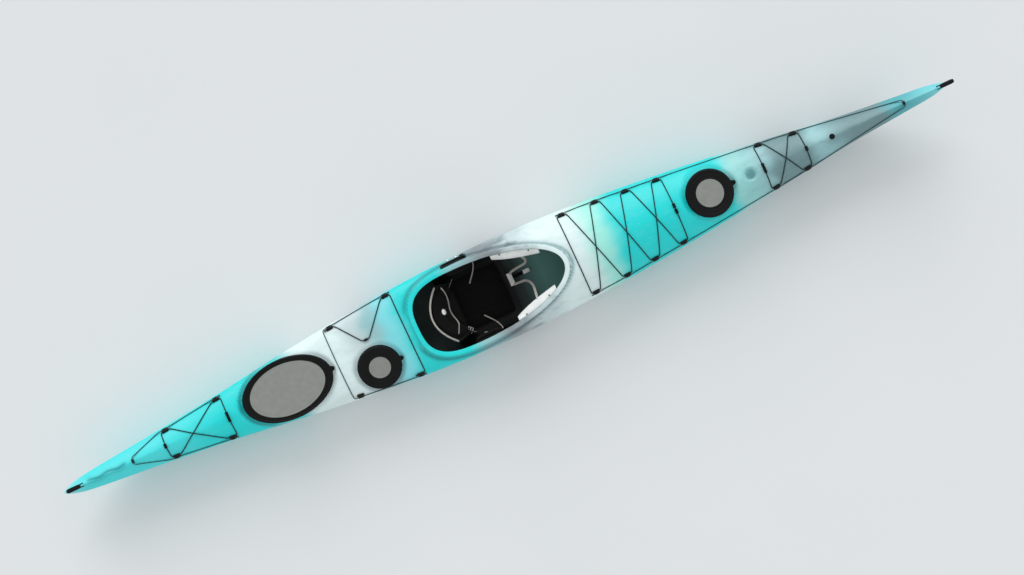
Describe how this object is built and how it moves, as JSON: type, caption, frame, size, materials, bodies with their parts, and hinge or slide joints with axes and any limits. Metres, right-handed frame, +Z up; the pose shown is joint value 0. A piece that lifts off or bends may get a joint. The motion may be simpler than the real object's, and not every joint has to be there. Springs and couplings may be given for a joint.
{
  "type": "sit-in touring kayak",
  "caption": "Long narrow sit-in touring kayak with a padded seat, rubber hatch covers, deck rigging, foot braces and a drop-down skeg.",
  "frame": {"origin": "on the ground under the keel, midway between the tips of the two carrying handles, on the centre line", "axes": "+X to the bow, +Y to port, +Z up"},
  "size_m": [5.18, 0.534, 0.3803],
  "materials": {
    "hull_plastic": "glossy moulded polyethylene, white blended to turquoise",
    "deck_plastic": "glossy moulded polyethylene, turquoise blended to white",
    "black_plastic": "fine textured moulding",
    "black_rubber": "satin moulded rubber",
    "grey_plate": "matt, lightly grained",
    "foam": "closed-cell foam sheet",
    "seat_fabric": "padded woven nylon over foam",
    "bungee": "braided sleeve over an elastic core",
    "deck_line": "braided polyester",
    "brace_plastic": "light grey padded moulding",
    "stainless": "stainless rod"
  },
  "bodies": {
    "boat": {"hull_shell": "hull_plastic", "deck_shell_stern": "deck_plastic", "deck_shell_aft": "deck_plastic", "deck_shell_cockpit": "deck_plastic", "deck_shell_bow": "deck_plastic", "cockpit_coaming": "deck_plastic", "stern_bulkhead": "foam", "cockpit_bulkhead": "foam", "bow_bulkhead": "foam", "stern_hatch_rim": "black_plastic", "day_hatch_rim": "black_plastic", "bow_hatch_rim": "black_plastic", "skeg_box": "black_plastic", "skeg_pin": "stainless", "skeg_cable": "black_plastic", "skeg_slider_track": "black_plastic", "seat_pan": "black_plastic", "seat_pad": "seat_fabric", "hip_pad_port": "seat_fabric", "hip_pad_starboard": "seat_fabric", "thigh_brace_port": "brace_plastic", "thigh_brace_starboard": "brace_plastic", "backrest_strap_port": "seat_fabric", "backrest_strap_starboard": "seat_fabric", "foot_rail_port": "black_plastic", "foot_rail_starboard": "black_plastic", "stern_rigging": "bungee", "bow_rigging": "bungee", "foredeck_bungee": "bungee", "aft_bungee": "bungee", "stern_deck_line": "deck_line", "aft_deck_line": "deck_line", "bow_deck_line": "deck_line", "aft_fitting_port_1": "black_plastic", "aft_fitting_starboard_1": "black_plastic", "aft_fitting_port_2": "black_plastic", "aft_fitting_starboard_2": "black_plastic", "foredeck_fitting_port_1": "black_plastic", "foredeck_fitting_starboard_1": "black_plastic", "foredeck_fitting_port_2": "black_plastic", "foredeck_fitting_starboard_2": "black_plastic", "foredeck_fitting_port_3": "black_plastic", "foredeck_fitting_starboard_3": "black_plastic", "foredeck_fitting_port_4": "black_plastic", "foredeck_fitting_starboard_4": "black_plastic"},
    "stern_cover": {"stern_hatch_cover": "black_rubber", "stern_hatch_plate": "grey_plate"},
    "day_cover": {"day_hatch_cover": "black_rubber", "day_hatch_plate": "grey_plate"},
    "bow_cover": {"bow_hatch_cover": "black_rubber", "bow_hatch_plate": "grey_plate"},
    "drain": {"drain_plug": "black_plastic"},
    "skeg": {"skeg_blade": "black_plastic"},
    "slider": {"skeg_slider_knob": "black_plastic"},
    "backrest": {"backrest_shell": "black_plastic", "backrest_pad": "seat_fabric"},
    "pedal_port": {"foot_pedal_port": "black_plastic"},
    "pedal_starboard": {"foot_pedal_starboard": "black_plastic"},
    "bow_toggle": {"bow_handle": "black_rubber"},
    "stern_toggle": {"stern_handle": "black_rubber"}
  },
  "joints": [
    {"name": "stern_cover_lift", "type": "slide", "parent": "boat", "child": "stern_cover", "axis": [0.0255, 0, 0.9997], "range_m": [0, 0.25]},
    {"name": "day_cover_lift", "type": "slide", "parent": "boat", "child": "day_cover", "axis": [-0.0031, -0.2055, 0.9786], "range_m": [0, 0.25]},
    {"name": "bow_cover_lift", "type": "slide", "parent": "boat", "child": "bow_cover", "axis": [0.0105, 0, 0.9999], "range_m": [0, 0.25]},
    {"name": "drain_plug_lift", "type": "slide", "parent": "boat", "child": "drain", "axis": [-0.0334, 0, 0.9994], "range_m": [0, 0.04]},
    {"name": "skeg_swing", "type": "hinge", "parent": "boat", "child": "skeg", "pos_m": [-1.63396, 0, 0.038], "axis": [0, -1, 0], "range_deg": [0, 60]},
    {"name": "slider_travel", "type": "slide", "parent": "boat", "child": "slider", "axis": [-0.9994, -0.0193, -0.0281], "range_m": [0, 0.11]},
    {"name": "backrest_tilt", "type": "hinge", "parent": "boat", "child": "backrest", "pos_m": [-0.31824, 0, 0.066], "axis": [0, 1, 0], "range_deg": [-8, 15]},
    {"name": "pedal_port_travel", "type": "slide", "parent": "boat", "child": "pedal_port", "axis": [0.9957, -0.0929, 0], "range_m": [-0.16, 0.15]},
    {"name": "pedal_starboard_travel", "type": "slide", "parent": "boat", "child": "pedal_starboard", "axis": [0.9957, 0.0929, 0], "range_m": [-0.16, 0.15]},
    {"name": "bow_handle_lift", "type": "hinge", "parent": "boat", "child": "bow_toggle", "pos_m": [2.498, 0, 0.3703], "axis": [0, -1, 0], "range_deg": [0, 150]},
    {"name": "stern_handle_lift", "type": "hinge", "parent": "boat", "child": "stern_toggle", "pos_m": [-2.478, 0, 0.30853], "axis": [0, 1, 0], "range_deg": [0, 150]}
  ],
  "couplings": [
    {"joint": "slider_travel", "follows": "skeg_swing", "m_per_rad": 0.105}
  ]
}
